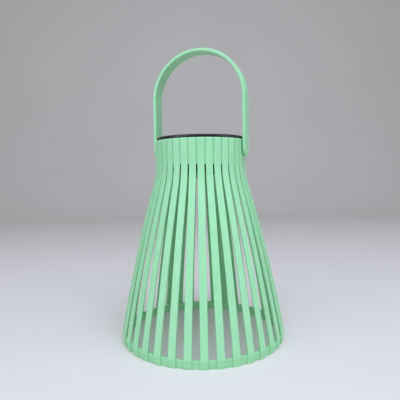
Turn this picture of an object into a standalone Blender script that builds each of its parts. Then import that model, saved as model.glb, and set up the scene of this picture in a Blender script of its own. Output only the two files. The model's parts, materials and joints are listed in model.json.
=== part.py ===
"""Solar garden lantern: a moulded slatted cage, a swinging strap handle and a twist-lock solar light.

Units are metres, +Z is up. The origin is on the lantern's axis, in the plane that it stands on.
The handle swings about the X axis direction, so its two pins lie at +X and -X.
"""
import math

import bmesh
import bpy
from mathutils import Matrix, Vector

MM = 0.001

# Gaps between separate pieces.
FIT = 0.3 * MM                 # between pieces that touch or rest on each other
RUN = 0.4 * MM                 # beside pieces that turn or slide

# Cage: one moulding of a neck band, slats and a base ring.
SLAT_COUNT = 36
FOOT_RADIUS = 71.7 * MM        # slat faces at the foot
WIDEST_RADIUS = 72.7 * MM      # slat faces at the ring's top, where they turn in to the foot
WAIST_RADIUS = 39.5 * MM       # slat faces at the narrowest place
NECK_FLARE = 0.2 * MM          # how much wider the top is than the waist
CAGE_HEIGHT = 175.3 * MM
WAIST_DEPTH = 18.3 * MM        # waist below the top
BAND_HEIGHT = 21.5 * MM        # closed neck band above the slots
SHOULDER_RADIUS = 75.0 * MM    # hollow curve below the waist
FLARE_ANGLE = math.radians(16.2)   # steepest slope, where the hollow curve meets the belly curve
GROOVE_WIDTH = 1.25 * MM       # groove between slats at the waist
GROOVE_DEPTH = 0.8 * MM
SLAT_THICKNESS = 1.5 * MM
FOOT_WIDTH = 6.1 * MM          # width of a slat at the foot; it narrows up to the waist
NECK_WALL = 2.4 * MM           # wall of the closed band, over the slats
RING_HEIGHT = 7.0 * MM
RING_STEP = 1.1 * MM           # slats stand proud of the ring by this much
RING_WALL = 2.2 * MM
SHOULDER_STEPS = 4
BELLY_STEPS = 6

# Twist lock: a ledge inside the neck with notches, and lugs on the light that turn in below it.
LUG_COUNT = 3
LEDGE_DEPTH = 1.5 * MM
LEDGE_DROP = 17.0 * MM         # ledge top below the cage top
LEDGE_HEIGHT = 2.0 * MM
LEDGE_ROOT = 0.5 * MM          # how far the ledge runs into the neck wall
LUG_ANGLE = math.radians(16.0)
LUG_HEIGHT = 2.0 * MM
NOTCH_SLACK = math.radians(4.0)
LOCK_TURN = math.radians(30.0)

# Handle: a flat strap bent to an arch, with a pin near the end of each leg.
HANDLE_WIDTH = 13.4 * MM
HANDLE_THICKNESS = 2.7 * MM
HANDLE_LEG = 44.9 * MM         # pin to the centre of the arch
PIVOT_DEPTH = 7.8 * MM         # pin below the cage top
PIN_RADIUS = 2.3 * MM
PIN_END_GAP = 1.0 * MM         # between the pin's end and the light

# Lid with the solar cell.
FLANGE_INSET = 1.1 * MM        # lid rim inside the slat faces
FLANGE_THICKNESS = 2.4 * MM
LID_PLATE = 1.4 * MM
HOUSING_WALL = 1.8 * MM
WINDOW_RADIUS = 31.0 * MM
WINDOW_THICKNESS = 1.5 * MM
CELL_SIDE = 42.0 * MM
CELL_THICKNESS = 0.6 * MM
SEAL_THICKNESS = 1.2 * MM

# Lower housing.
MODULE_DEPTH = 28.3 * MM       # underside of the housing below the lid rim
HOUSING_FLOOR = 1.8 * MM
BORE_RADIUS = 1.2 * MM         # screw holes
SCREW_RADIUS = 0.7 * MM
SCREW_HEAD_RADIUS = 2.5 * MM
SCREW_HEAD_FLAT = 1.75 * MM    # radius of the head's flat top
SCREW_HEAD_HEIGHT = 1.5 * MM
SCREW_HEAD_EDGE = 0.7 * MM     # straight edge of the head
SCREW_POINT = 1.5 * MM
SCREW_LENGTH = 10.0 * MM
POST_RADIUS = 3.0 * MM
POST_CIRCLE = 28.5 * MM        # housing screws lie on this circle

# Battery, its bay and its cover.
BATTERY_RADIUS = 5.25 * MM
BATTERY_CAN = 43.0 * MM
BATTERY_NUB = 1.5 * MM
BATTERY_NUB_RADIUS = 1.9 * MM
BATTERY_OFFSET = 15.5 * MM     # battery axis beside the lantern's axis
BAY_WALL = 1.2 * MM
BAY_HEADROOM = 1.0 * MM        # housing's edge above the bay's roof
CONTACT_THICKNESS = 0.4 * MM
SPRING_LENGTH = 2.6 * MM
SPRING_RADIUS = 3.4 * MM
SPRING_WIRE = 0.3 * MM
SPRING_TURNS = 3
COVER_THICKNESS = 1.5 * MM
COVER_LIP = 1.2 * MM
COVER_MARGIN = 1.2 * MM        # cover beyond the bay's opening
COVER_CORNER = 2.0 * MM
EAR_RADIUS = 3.4 * MM
EAR_X = -14.0 * MM
EAR_Y = 5.0 * MM
EAR_BOSS_HEIGHT = 6.0 * MM

# Circuit board and what it carries.
BOARD_LENGTH = 34.0 * MM
BOARD_WIDTH = 24.0 * MM
BOARD_Y = -8.0 * MM            # middle of the board
BOARD_THICKNESS = 1.2 * MM
BOARD_RISE = 8.5 * MM          # board above the housing floor
BOARD_POST_RADIUS = 2.5 * MM
BOARD_BORE_RADIUS = 0.9 * MM   # holes in the board's posts
BOARD_POST_X = 12.0 * MM
BOARD_POST_Y = -16.0 * MM
CHIP_SIZE = (5.0 * MM, 4.0 * MM, 1.8 * MM)
CHIP_PLACE = (-6.0 * MM, -8.0 * MM)
INDUCTOR_RADIUS = 1.6 * MM
INDUCTOR_LENGTH = 8.0 * MM
INDUCTOR_PLACE = (6.0 * MM, -9.0 * MM)
LED_RADIUS = 2.5 * MM
LED_RIM_RADIUS = 2.9 * MM
LED_RIM_HEIGHT = 1.0 * MM
LED_LENGTH = 8.5 * MM
LED_DROP = 3.0 * MM            # rim of the lamp below the board
LEAD_SIDE = 0.5 * MM
LEAD_PITCH = 2.54 * MM

# Diffuser over the lamp.
DIFFUSER_RADIUS = 4.5 * MM
DIFFUSER_WALL = 1.0 * MM
DIFFUSER_TUBE = 1.7 * MM       # straight part below the housing
DIFFUSER_RIM = 2.0 * MM
DIFFUSER_RIM_HEIGHT = 1.0 * MM

# Slide switch.
SWITCH_X = 14.0 * MM
SWITCH_Y = -8.0 * MM
SWITCH_SIZE = (8.6 * MM, 4.0 * MM, 4.4 * MM)
SWITCH_TRAVEL = 3.0 * MM
KNOB_SIZE = (2.0 * MM, 1.6 * MM)
KNOB_PROUD = 1.7 * MM
KNOB_INSIDE = 2.2 * MM

# Wires.
WIRE_RADIUS = 0.55 * MM
WIRE_HOLE = 1.0 * MM
WIRE_SLOT = (8.0 * MM, 4.0 * MM)
WIRE_SLOT_Y = -6.0 * MM

ROUND = 40                     # sides of a large turned piece
SMALL_ROUND = 16               # sides of a pin or a screw

# What follows from the sizes above.
PITCH = 2 * math.pi / SLAT_COUNT
WAIST_WIDTH = WAIST_RADIUS * PITCH - GROOVE_WIDTH
WAIST_HEIGHT = CAGE_HEIGHT - WAIST_DEPTH
SLOT_TOP = CAGE_HEIGHT - BAND_HEIGHT
NECK_RADIUS = WAIST_RADIUS + NECK_FLARE
NECK_BORE = WAIST_RADIUS - NECK_WALL
LEDGE_RADIUS = NECK_BORE - LEDGE_DEPTH
LEDGE_TOP = CAGE_HEIGHT - LEDGE_DROP
LEDGE_BOTTOM = LEDGE_TOP - LEDGE_HEIGHT
HOUSING_RADIUS = LEDGE_RADIUS - RUN
HOUSING_BORE = HOUSING_RADIUS - HOUSING_WALL
LUG_RADIUS = NECK_BORE - RUN
HANDLE_INNER = NECK_RADIUS + RUN
HANDLE_OUTER = HANDLE_INNER + HANDLE_THICKNESS
PIVOT_HEIGHT = CAGE_HEIGHT - PIVOT_DEPTH
SEAT_HEIGHT = CAGE_HEIGHT + FIT

# Heights inside the light are counted from the underside of the lid's rim.
RECESS_FLOOR = FLANGE_THICKNESS - WINDOW_THICKNESS - CELL_THICKNESS - 2 * FIT
LID_UNDERSIDE = RECESS_FLOOR - LID_PLATE
HOUSING_BOTTOM = -MODULE_DEPTH
FLOOR_TOP = HOUSING_BOTTOM + HOUSING_FLOOR
LUG_TOP = LEDGE_BOTTOM - RUN - SEAT_HEIGHT
BATTERY_Z = HOUSING_BOTTOM + COVER_LIP + FIT + BATTERY_RADIUS
BAY_HALF_WIDTH = BATTERY_RADIUS + RUN
BAY_LENGTH = BATTERY_CAN + BATTERY_NUB + SPRING_LENGTH + 2 * CONTACT_THICKNESS + 5 * FIT
BAY_HALF_LENGTH = BAY_LENGTH / 2
BAY_CEILING = BATTERY_Z + BATTERY_RADIUS + FIT
HOUSING_TOP = BAY_CEILING + BAY_WALL + BAY_HEADROOM
SEAL_BOTTOM = HOUSING_TOP + FIT
SEAL_TOP = SEAL_BOTTOM + SEAL_THICKNESS
SKIRT_BOTTOM = SEAL_TOP + FIT
BATTERY_START = -BAY_HALF_LENGTH + 3 * FIT + CONTACT_THICKNESS + SPRING_LENGTH
BOARD_BOTTOM = FLOOR_TOP + BOARD_RISE
BOARD_TOP = BOARD_BOTTOM + BOARD_THICKNESS
LED_TOP = BOARD_BOTTOM - LED_DROP


def clear_scene():
    """Remove every object that is in the scene."""
    for old in list(bpy.data.objects):
        bpy.data.objects.remove(old, do_unlink=True)


def srgb(hex_colour):
    """Turn a hex colour into linear RGBA."""
    def channel(text):
        value = int(text, 16) / 255
        return value / 12.92 if value <= 0.04045 else ((value + 0.055) / 1.055) ** 2.4
    return tuple(channel(hex_colour[i:i + 2]) for i in (0, 2, 4)) + (1.0,)


def material(name, hex_colour, roughness, metallic=0.0, transmission=0.0):
    """Make one Principled material."""
    made = bpy.data.materials.new(name)
    made.use_nodes = True
    shader = made.node_tree.nodes["Principled BSDF"]
    shader.inputs["Base Color"].default_value = srgb(hex_colour)
    shader.inputs["Roughness"].default_value = roughness
    shader.inputs["Metallic"].default_value = metallic
    shader.inputs["Transmission Weight"].default_value = transmission
    made.diffuse_color = srgb(hex_colour)
    return made


def link(name, data, parent=None, location=(0.0, 0.0, 0.0)):
    """Put an object that holds this data in the scene."""
    made = bpy.data.objects.new(name, data)
    bpy.context.scene.collection.objects.link(made)
    made.parent = parent
    made.location = location
    return made


def piece(name, bm, look, parent=None, location=(0.0, 0.0, 0.0), sharp=35.0):
    """Turn a bmesh into one named sub-part."""
    bmesh.ops.recalc_face_normals(bm, faces=bm.faces)
    mesh = bpy.data.meshes.new(name)
    bm.to_mesh(mesh)
    bm.free()
    mesh.materials.append(look)
    mesh.shade_smooth()
    mesh.set_sharp_from_angle(angle=math.radians(sharp))
    return link(name, mesh, parent, location)


def shape_with(target, tool_name, bm, operation):
    """Add a Boolean to target, with the bmesh as its hidden tool."""
    bmesh.ops.recalc_face_normals(bm, faces=bm.faces)
    mesh = bpy.data.meshes.new(tool_name)
    bm.to_mesh(mesh)
    bm.free()
    tool = link(tool_name, mesh, target.parent, target.location)
    tool.hide_render = True
    tool.display_type = "WIRE"
    boolean = target.modifiers.new(tool_name, "BOOLEAN")
    boolean.operation = operation
    boolean.solver = "EXACT"
    boolean.object = tool


def add_box(bm, low, high):
    """Add a box between two corners."""
    size = [b - a for a, b in zip(low, high)]
    middle = [(a + b) / 2 for a, b in zip(low, high)]
    matrix = Matrix.Translation(middle) @ Matrix.Diagonal((*size, 1.0))
    return bmesh.ops.create_cube(bm, size=1.0, matrix=matrix)["verts"]


def add_cylinder(bm, radius, place, bottom, top, sides=SMALL_ROUND):
    """Add an upright cylinder at place (x, y)."""
    matrix = Matrix.Translation((place[0], place[1], (bottom + top) / 2))
    bmesh.ops.create_cone(bm, cap_ends=True, segments=sides, radius1=radius, radius2=radius,
                          depth=top - bottom, matrix=matrix)


def add_cylinder_x(bm, radius, start, end, centre, sides=SMALL_ROUND):
    """Add a cylinder along X; centre is its (y, z)."""
    matrix = Matrix.Translation(((start + end) / 2, *centre)) @ Matrix.Rotation(math.pi / 2, 4, "Y")
    bmesh.ops.create_cone(bm, cap_ends=True, segments=sides, radius1=radius, radius2=radius,
                          depth=end - start, matrix=matrix)


def add_turned(bm, outline, sides=ROUND, place=(0.0, 0.0), closed=True):
    """Turn an outline of (radius, height) points about an upright axis at place."""
    verts = [bm.verts.new((place[0] + r, place[1], z)) for r, z in outline]
    edges = [bm.edges.new(pair) for pair in zip(verts, verts[1:])]
    if closed:
        edges.append(bm.edges.new((verts[-1], verts[0])))
    bmesh.ops.spin(bm, geom=verts + edges, cent=(*place, 0.0), axis=(0.0, 0.0, 1.0),
                   angle=2 * math.pi, steps=sides, use_merge=True)
    bmesh.ops.remove_doubles(bm, verts=bm.verts, dist=0.001 * MM)


def add_sector(bm, inner, outer, bottom, top, start, sweep, steps):
    """Add a part of a ring, from angle start over sweep."""
    corners = ((inner, bottom), (outer, bottom), (outer, top), (inner, top))
    face = bm.faces.new([bm.verts.new((r, 0.0, z)) for r, z in corners])
    bmesh.ops.rotate(bm, verts=face.verts, cent=(0.0, 0.0, 0.0),
                     matrix=Matrix.Rotation(start, 3, "Z"))
    bmesh.ops.spin(bm, geom=[face, *face.edges, *face.verts], cent=(0.0, 0.0, 0.0),
                   axis=(0.0, 0.0, 1.0), angle=sweep, steps=steps)


def round_bar(name, centres, radius, look, parent, resolution):
    """Make a round bar or wire along a line of centres."""
    curve = bpy.data.curves.new(name, "CURVE")
    curve.dimensions = "3D"
    curve.bevel_depth = radius
    curve.bevel_resolution = resolution
    curve.use_fill_caps = True
    curve.render_resolution_u = 0
    spline = curve.splines.new("POLY")
    spline.points.add(len(centres) - 1)
    for point, centre in zip(spline.points, centres):
        point.co = (*centre, 1.0)
    curve.materials.append(look)
    link(name, curve, parent)


def tube(name, points, radius, look, parent):
    """Make a wire: a round tube on a smooth curve through the points."""
    round_bar(name, smooth_route(points, 5 * radius), radius, look, parent, 2)


def smooth_route(points, spacing):
    """Read points from a smooth (Catmull-Rom) curve through the given ones."""
    knots = [Vector(point) for point in points]
    knots = [2 * knots[0] - knots[1], *knots, 2 * knots[-1] - knots[-2]]
    route = [knots[1]]
    for before, start, end, after in zip(knots, knots[1:], knots[2:], knots[3:]):
        count = max(2, round((end - start).length / spacing))
        for i in range(1, count + 1):
            t = i / count
            route.append(0.5 * (2 * start + (end - before) * t
                                + (2 * before - 5 * start + 4 * end - after) * t ** 2
                                + (3 * start - before - 3 * end + after) * t ** 3))
    return route


def belly_curve():
    """Centre and radius of the belly's arc, which leaves the shoulder's arc without a kink."""
    start_z = WAIST_HEIGHT - SHOULDER_RADIUS * math.sin(FLARE_ANGLE)
    start_r = WAIST_RADIUS + SHOULDER_RADIUS * (1 - math.cos(FLARE_ANGLE))
    chord_r = WIDEST_RADIUS - start_r
    chord_z = start_z - RING_HEIGHT
    half_turn = FLARE_ANGLE - math.atan2(chord_r, chord_z)
    radius = math.hypot(chord_r, chord_z) / (2 * math.sin(half_turn))
    centre_r = start_r - radius * math.cos(FLARE_ANGLE)
    centre_z = start_z - radius * math.sin(FLARE_ANGLE)
    return start_z, radius, centre_r, centre_z


def face_radius(z):
    """Distance of the slat faces from the axis at a height."""
    if z < RING_HEIGHT:
        return FOOT_RADIUS + (WIDEST_RADIUS - FOOT_RADIUS) * z / RING_HEIGHT
    start_z, radius, centre_r, centre_z = belly_curve()
    if z >= WAIST_HEIGHT:
        return WAIST_RADIUS + NECK_FLARE * (z - WAIST_HEIGHT) / WAIST_DEPTH
    if z >= start_z:
        drop = WAIST_HEIGHT - z
        return WAIST_RADIUS + SHOULDER_RADIUS - math.sqrt(SHOULDER_RADIUS ** 2 - drop ** 2)
    side = math.copysign(1.0, radius)
    return centre_r + side * math.sqrt(radius ** 2 - (z - centre_z) ** 2)


def slat_half(z):
    """Half the width of a slat at a height."""
    return (FOOT_WIDTH + (WAIST_WIDTH - FOOT_WIDTH) * min(1.0, z / WAIST_HEIGHT)) / 2


def bay_section(bm, z, groove, depth, edges):
    """Points of one slat's bay at a height: x points outward, y along the wall.

    The list runs round the section: face, foot, edge of the bay, inner edge, back, and the same
    again on the other side. Without edges it holds only the slat's own four corners.
    """
    outer = face_radius(z)
    half = slat_half(z)
    turn = PITCH / 2
    side = [(outer, half)]
    if edges:
        side.append((outer - groove, half))
        side.append(((outer - groove) * math.cos(turn), (outer - groove) * math.sin(turn)))
        side.append(((outer - depth) * math.cos(turn), (outer - depth) * math.sin(turn)))
    side.append((outer - depth, half))
    other = [(x, -y) for x, y in reversed(side)]
    return [bm.verts.new((x, y, z)) for x, y in side + other]


def join_slat(bm, wall, slat, z):
    """Faces between the end section of a closed wall and the thinner slat that runs on from it."""
    inside = face_radius(z) - SLAT_THICKNESS
    backs = [bm.verts.new((inside, y, z)) for y in (slat_half(z), -slat_half(z))]
    face, foot, edge, inner_edge, back = wall[:5]
    far_back, far_inner, far_edge, far_foot, far_face = wall[5:]
    bm.faces.new((foot, edge, inner_edge, back, backs[0]))
    bm.faces.new((far_foot, far_edge, far_inner, far_back, backs[1]))
    bm.faces.new((backs[0], back, far_back, backs[1]))
    bm.faces.new((face, foot, backs[0], slat[1], slat[0]))
    bm.faces.new((far_face, far_foot, backs[1], slat[2], slat[3]))
    bm.faces.new((backs[0], backs[1], slat[2], slat[1]))
    bm.faces.new((far_face, face, slat[0], slat[3]))


def add_bay(bm):
    """Add the faces of one bay of the cage: a slat with its share of the band and the ring."""
    shoulder_end = belly_curve()[0]
    band = [bay_section(bm, z, GROOVE_DEPTH, NECK_WALL, True)
            for z in (CAGE_HEIGHT, WAIST_HEIGHT, SLOT_TOP)]
    heights = [SLOT_TOP + (shoulder_end - SLOT_TOP) * i / SHOULDER_STEPS
               for i in range(1, SHOULDER_STEPS + 1)]
    heights += [shoulder_end + (RING_HEIGHT - shoulder_end) * i / BELLY_STEPS
                for i in range(1, BELLY_STEPS)]
    slat = [bay_section(bm, z, 0.0, SLAT_THICKNESS, False) for z in heights]
    ring = [bay_section(bm, z, RING_STEP, RING_STEP + RING_WALL, True)
            for z in (RING_HEIGHT, 0.0)]

    open_sides = (2, 6)
    for sections in (band, ring):
        for upper, lower in zip(sections, sections[1:]):
            for i in range(10):
                if i not in open_sides:
                    j = (i + 1) % 10
                    bm.faces.new((upper[i], upper[j], lower[j], lower[i]))
    for upper, lower in zip(slat, slat[1:]):
        for i in range(4):
            j = (i + 1) % 4
            bm.faces.new((upper[i], upper[j], lower[j], lower[i]))

    face, foot, edge, inner_edge, back = range(5)
    far_back, far_inner, far_edge, far_foot, far_face = range(5, 10)
    for section in (band[0], ring[1]):
        bm.faces.new([section[i] for i in (foot, edge, inner_edge, back)])
        bm.faces.new([section[i] for i in (far_back, far_inner, far_edge, far_foot)])
        bm.faces.new([section[i] for i in (face, foot, back, far_back, far_foot, far_face)])

    join_slat(bm, band[2], slat[0], SLOT_TOP)
    join_slat(bm, ring[0], slat[-1], RING_HEIGHT)


def make_cage(look):
    """The cage: one bay turned all the way round, with the ledge added and the pin holes cut."""
    bm = bmesh.new()
    add_bay(bm)
    bmesh.ops.spin(bm, geom=bm.verts[:] + bm.edges[:] + bm.faces[:], cent=(0.0, 0.0, 0.0),
                   axis=(0.0, 0.0, 1.0), angle=2 * math.pi - PITCH, steps=SLAT_COUNT - 1,
                   use_duplicate=True)
    bmesh.ops.remove_doubles(bm, verts=bm.verts, dist=0.005 * MM)
    cage = piece("cage", bm, look, sharp=25.0)

    ledge = bmesh.new()
    notch = LUG_ANGLE + NOTCH_SLACK
    for k in range(LUG_COUNT):
        start = 2 * math.pi * k / LUG_COUNT + LOCK_TURN + notch / 2
        add_sector(ledge, LEDGE_RADIUS, NECK_BORE + LEDGE_ROOT, LEDGE_BOTTOM, LEDGE_TOP,
                   start, 2 * math.pi / LUG_COUNT - notch, 8)
    shape_with(cage, "ledge", ledge, "UNION")

    holes = bmesh.new()
    reach = HANDLE_OUTER
    add_cylinder_x(holes, PIN_RADIUS + RUN / 2, -reach, reach, (0.0, PIVOT_HEIGHT))
    shape_with(cage, "pin_holes", holes, "DIFFERENCE")
    return cage


def strap_stations():
    """Stations along the strap, from one rounded end over the arch to the other.

    Each is (direction across the strap's thickness, place of the strap's middle, half width).
    """
    middle = (HANDLE_INNER + HANDLE_OUTER) / 2
    half = HANDLE_WIDTH / 2
    end = []
    for degrees in (78, 60, 40, 20, 0):
        angle = math.radians(degrees)
        end.append((Vector((1.0, 0.0, 0.0)), Vector((middle, 0.0, -half * math.sin(angle))),
                    half * math.cos(angle)))
    arch = []
    for degrees in range(0, 181, 9):
        angle = math.radians(degrees)
        out = Vector((math.cos(angle), 0.0, math.sin(angle)))
        arch.append((out, out * middle + Vector((0.0, 0.0, HANDLE_LEG)), half))
    flip = Matrix.Diagonal((-1.0, 1.0, 1.0))
    return end + arch + [(flip @ out, flip @ place, width) for out, place, width in reversed(end)]


def make_handle(look):
    """The handle, with its origin on the line through its pins."""
    bm = bmesh.new()
    rings = []
    for out, place, half in strap_stations():
        thick = out * HANDLE_THICKNESS / 2
        wide = Vector((0.0, half, 0.0))
        corners = (place + thick - wide, place + thick + wide, place - thick + wide,
                   place - thick - wide)
        rings.append([bm.verts.new(corner) for corner in corners])
    for one, two in zip(rings, rings[1:]):
        for i in range(4):
            j = (i + 1) % 4
            bm.faces.new((one[i], one[j], two[j], two[i]))
    bm.faces.new(rings[0])
    bm.faces.new(rings[-1])
    handle = piece("handle", bm, look, location=(0.0, 0.0, PIVOT_HEIGHT))

    pins = bmesh.new()
    inner_end = HOUSING_RADIUS + PIN_END_GAP
    root = HANDLE_INNER + HANDLE_THICKNESS / 2
    add_cylinder_x(pins, PIN_RADIUS, inner_end, root, (0.0, 0.0))
    add_cylinder_x(pins, PIN_RADIUS, -root, -inner_end, (0.0, 0.0))
    shape_with(handle, "handle_pins", pins, "UNION")
    return handle


def post_places():
    """Where the three housing screws go; the battery bay lies between two of them."""
    angles = [math.radians(90 + 120 * k) for k in range(3)]
    return [(POST_CIRCLE * math.cos(a), POST_CIRCLE * math.sin(a)) for a in angles]


def make_lid(light, plastic):
    """The lid: rim, recess for the solar cell, skirt and three screw posts."""
    rim = NECK_RADIUS - FLANGE_INSET
    soft = 0.5 * MM
    recess = WINDOW_RADIUS + FIT
    outline = ((0.0, RECESS_FLOOR), (recess, RECESS_FLOOR), (recess, FLANGE_THICKNESS),
               (rim - soft, FLANGE_THICKNESS), (rim, FLANGE_THICKNESS - soft), (rim, 0.0),
               (HOUSING_RADIUS, 0.0), (HOUSING_RADIUS, SKIRT_BOTTOM), (HOUSING_BORE, SKIRT_BOTTOM),
               (HOUSING_BORE, LID_UNDERSIDE), (0.0, LID_UNDERSIDE))
    bm = bmesh.new()
    add_turned(bm, outline, closed=False)
    lid = piece("lid", bm, plastic, light)

    posts = bmesh.new()
    for place in post_places():
        add_cylinder(posts, POST_RADIUS, place, FLOOR_TOP + FIT, LID_UNDERSIDE + LID_PLATE / 2)
    shape_with(lid, "lid_posts", posts, "UNION")

    holes = bmesh.new()
    for place in post_places():
        add_cylinder(holes, BORE_RADIUS, place, HOUSING_BOTTOM, FLOOR_TOP + SCREW_LENGTH, 10)
    half_x, half_y = WIRE_SLOT[0] / 2, WIRE_SLOT[1] / 2
    add_box(holes, (-half_x, WIRE_SLOT_Y - half_y, LID_UNDERSIDE - LID_PLATE),
            (half_x, WIRE_SLOT_Y + half_y, RECESS_FLOOR + LID_PLATE))
    shape_with(lid, "lid_holes", holes, "DIFFERENCE")


def make_solar_top(light, cell_look, window_look, rubber):
    """The solar cell, the clear window over it and the seal between lid and housing."""
    half = CELL_SIDE / 2
    bottom = RECESS_FLOOR + FIT
    bm = bmesh.new()
    add_box(bm, (-half, -half, bottom), (half, half, bottom + CELL_THICKNESS))
    piece("solar_cell", bm, cell_look, light)

    bm = bmesh.new()
    bottom = FLANGE_THICKNESS - WINDOW_THICKNESS
    add_cylinder(bm, WINDOW_RADIUS, (0.0, 0.0), bottom, FLANGE_THICKNESS, ROUND)
    piece("solar_window", bm, window_look, light)

    bm = bmesh.new()
    inner, outer = HOUSING_BORE + FIT, HOUSING_RADIUS - FIT
    add_turned(bm, ((inner, SEAL_TOP), (outer, SEAL_TOP), (outer, SEAL_BOTTOM), (inner, SEAL_BOTTOM)))
    piece("lid_seal", bm, rubber, light)


def make_lower_housing(light, plastic):
    """The lower housing: a cup with lugs, a battery bay, posts, and holes for all that shows."""
    outline = ((0.0, FLOOR_TOP), (HOUSING_BORE, FLOOR_TOP), (HOUSING_BORE, HOUSING_TOP),
               (HOUSING_RADIUS, HOUSING_TOP), (HOUSING_RADIUS, HOUSING_BOTTOM),
               (0.0, HOUSING_BOTTOM))
    bm = bmesh.new()
    add_turned(bm, outline, closed=False)
    housing = piece("lower_housing", bm, plastic, light)

    root = HOUSING_WALL / 2
    solid = bmesh.new()
    for k in range(LUG_COUNT):
        start = 2 * math.pi * k / LUG_COUNT - LUG_ANGLE / 2
        add_sector(solid, HOUSING_RADIUS - root, LUG_RADIUS, LUG_TOP - LUG_HEIGHT, LUG_TOP,
                   start, LUG_ANGLE, 3)
    add_box(solid, (-BAY_HALF_LENGTH - BAY_WALL, BATTERY_OFFSET - BAY_HALF_WIDTH - BAY_WALL,
                    FLOOR_TOP - HOUSING_FLOOR / 2),
            (BAY_HALF_LENGTH + BAY_WALL, BATTERY_OFFSET + BAY_HALF_WIDTH + BAY_WALL,
             BAY_CEILING + BAY_WALL))
    for x in (-BOARD_POST_X, BOARD_POST_X):
        add_cylinder(solid, BOARD_POST_RADIUS, (x, BOARD_POST_Y), FLOOR_TOP - HOUSING_FLOOR / 2,
                     BOARD_BOTTOM - FIT)
    add_cylinder(solid, BORE_RADIUS + BAY_WALL, (EAR_X, EAR_Y), FLOOR_TOP - HOUSING_FLOOR / 2,
                 FLOOR_TOP + EAR_BOSS_HEIGHT)
    shape_with(housing, "housing_solids", solid, "UNION")

    below = HOUSING_BOTTOM - HOUSING_FLOOR
    above = FLOOR_TOP + HOUSING_FLOOR
    holes = bmesh.new()
    add_box(holes, (-BAY_HALF_LENGTH, BATTERY_OFFSET - BAY_HALF_WIDTH, below),
            (BAY_HALF_LENGTH, BATTERY_OFFSET + BAY_HALF_WIDTH, BAY_CEILING))
    for place in post_places():
        add_cylinder(holes, BORE_RADIUS, place, below, above, 10)
    add_cylinder(holes, BORE_RADIUS, (EAR_X, EAR_Y), below, FLOOR_TOP + EAR_BOSS_HEIGHT - BAY_WALL, 10)
    add_cylinder(holes, DIFFUSER_RADIUS + FIT, (0.0, 0.0), below, above, 24)
    reach_x = (SWITCH_TRAVEL + KNOB_SIZE[0]) / 2 + RUN
    reach_y = KNOB_SIZE[1] / 2 + RUN
    add_box(holes, (SWITCH_X - reach_x, SWITCH_Y - reach_y, below),
            (SWITCH_X + reach_x, SWITCH_Y + reach_y, above))
    for x in (-BOARD_POST_X, BOARD_POST_X):
        add_cylinder(holes, BOARD_BORE_RADIUS, (x, BOARD_POST_Y), FLOOR_TOP + BAY_WALL,
                     BOARD_BOTTOM + BAY_WALL, 10)
    shape_with(housing, "housing_holes", holes, "DIFFERENCE")

    wire_holes = bmesh.new()
    for x in contact_places():
        add_cylinder(wire_holes, WIRE_HOLE, (x, BATTERY_OFFSET), BAY_CEILING - BAY_WALL,
                     BAY_CEILING + 2 * BAY_WALL, 10)
    shape_with(housing, "wire_holes", wire_holes, "DIFFERENCE")


def contact_places():
    """Middle of the negative and of the positive contact plate, along X."""
    plate = BAY_HALF_LENGTH - FIT - CONTACT_THICKNESS / 2
    return -plate, plate


def make_battery(light, sleeve, metal):
    """The battery cell with its contact plates and the spring behind its flat end."""
    bm = bmesh.new()
    centre = (BATTERY_OFFSET, BATTERY_Z)
    end = BATTERY_START + BATTERY_CAN
    outline = ((BATTERY_START, 0.0), (BATTERY_START, BATTERY_RADIUS), (end, BATTERY_RADIUS),
               (end, BATTERY_NUB_RADIUS), (end + BATTERY_NUB, BATTERY_NUB_RADIUS),
               (end + BATTERY_NUB, 0.0))
    verts = [bm.verts.new((x, centre[0] + r, centre[1])) for x, r in outline]
    edges = [bm.edges.new(pair) for pair in zip(verts, verts[1:])]
    bmesh.ops.spin(bm, geom=verts + edges, cent=(0.0, *centre), axis=(1.0, 0.0, 0.0),
                   angle=2 * math.pi, steps=24, use_merge=True)
    bmesh.ops.remove_doubles(bm, verts=bm.verts, dist=0.001 * MM)
    piece("battery", bm, sleeve, light)

    half_width = BAY_HALF_WIDTH - BAY_WALL
    for name, x in zip(("battery_contact_minus", "battery_contact_plus"), contact_places()):
        bm = bmesh.new()
        half = CONTACT_THICKNESS / 2
        add_box(bm, (x - half, BATTERY_OFFSET - half_width, HOUSING_BOTTOM + COVER_LIP + FIT),
                (x + half, BATTERY_OFFSET + half_width, BAY_CEILING - FIT))
        piece(name, bm, metal, light)

    start = -BAY_HALF_LENGTH + 2 * FIT + CONTACT_THICKNESS + SPRING_WIRE
    length = SPRING_LENGTH - 2 * SPRING_WIRE
    per_turn = 12
    steps = SPRING_TURNS * per_turn
    points = []
    for i in range(steps + 1):
        angle = 2 * math.pi * i / per_turn
        radius = SPRING_RADIUS - (SPRING_RADIUS - BATTERY_NUB_RADIUS) * i / steps
        points.append((start + length * i / steps, BATTERY_OFFSET + radius * math.cos(angle),
                       BATTERY_Z + radius * math.sin(angle)))
    round_bar("battery_spring", points, SPRING_WIRE, metal, light, 1)


def screw(bm, place, seat, length, up):
    """Add a pan-head screw; up is +1 for a head below its seat and the shank above it."""
    x, y = place
    crown = seat - up * SCREW_HEAD_HEIGHT
    outline = ((0.0, crown), (SCREW_HEAD_FLAT, crown),
               (SCREW_HEAD_RADIUS, seat - up * SCREW_HEAD_EDGE), (SCREW_HEAD_RADIUS, seat),
               (SCREW_RADIUS, seat), (SCREW_RADIUS, seat + up * (length - SCREW_POINT)),
               (0.0, seat + up * length))
    add_turned(bm, outline, 12, (x, y), closed=False)


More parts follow.
